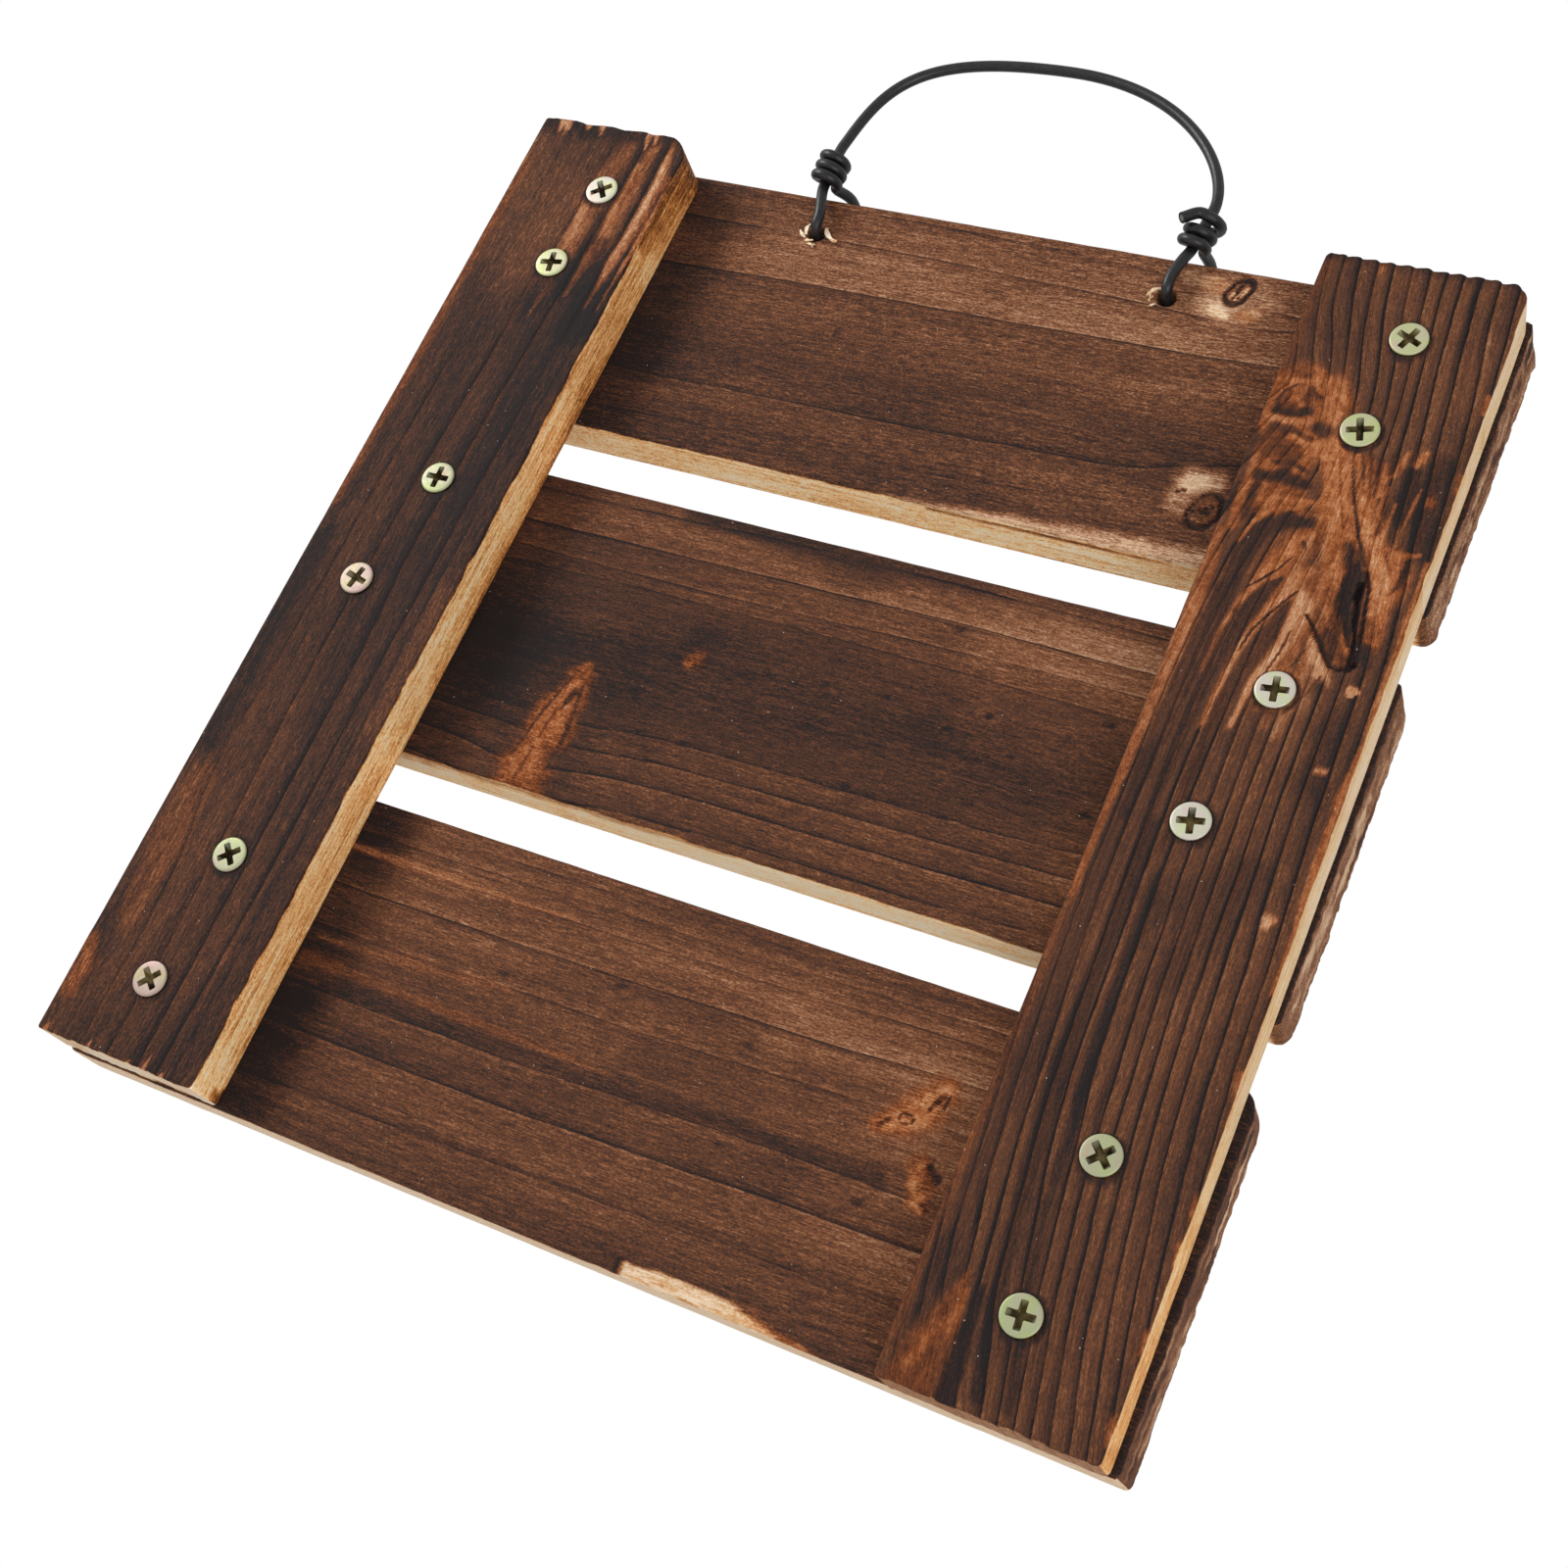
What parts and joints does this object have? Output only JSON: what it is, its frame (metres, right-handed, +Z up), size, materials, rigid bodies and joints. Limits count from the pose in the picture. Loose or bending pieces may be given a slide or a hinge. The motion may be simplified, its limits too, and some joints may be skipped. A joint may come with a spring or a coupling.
{
  "type": "plant mounting board",
  "caption": "Slatted charred-wood board with screwed battens and a wire hanger, for mounting ferns, orchids and other epiphytes on a wall.",
  "frame": {"origin": "middle of the middle slat's back face, where the board rests on the wall", "axes": "+X right along the slats seen from the front, +Y towards the wall, +Z up the battens"},
  "size_m": [0.2439, 0.0285, 0.3004],
  "materials": {
    "slat_wood": "charred and brushed softwood",
    "batten_wood": "charred and brushed softwood",
    "yellow_zinc": "steel with iridescent yellow zinc plating",
    "wire_coating": "black plastic coating, satin",
    "wire_core": "drawn steel wire"
  },
  "bodies": {
    "board": {"top_slat": "slat_wood", "middle_slat": "slat_wood", "bottom_slat": "slat_wood", "left_batten": "batten_wood", "right_batten": "batten_wood", "left_top_upper_screw": "yellow_zinc", "left_top_lower_screw": "yellow_zinc", "left_middle_upper_screw": "yellow_zinc", "left_middle_lower_screw": "yellow_zinc", "left_bottom_upper_screw": "yellow_zinc", "left_bottom_lower_screw": "yellow_zinc", "right_top_upper_screw": "yellow_zinc", "right_top_lower_screw": "yellow_zinc", "right_middle_upper_screw": "yellow_zinc", "right_middle_lower_screw": "yellow_zinc", "right_bottom_upper_screw": "yellow_zinc", "right_bottom_lower_screw": "yellow_zinc"},
    "hanger": {"hanger_coating": "wire_coating", "hanger_core": "wire_core"}
  },
  "joints": [
    {"name": "hanger_swing", "type": "hinge", "parent": "board", "child": "hanger", "pos_m": [0, -0.006, 0.1158], "axis": [1, 0, 0], "range_deg": [-6, 6]}
  ]
}
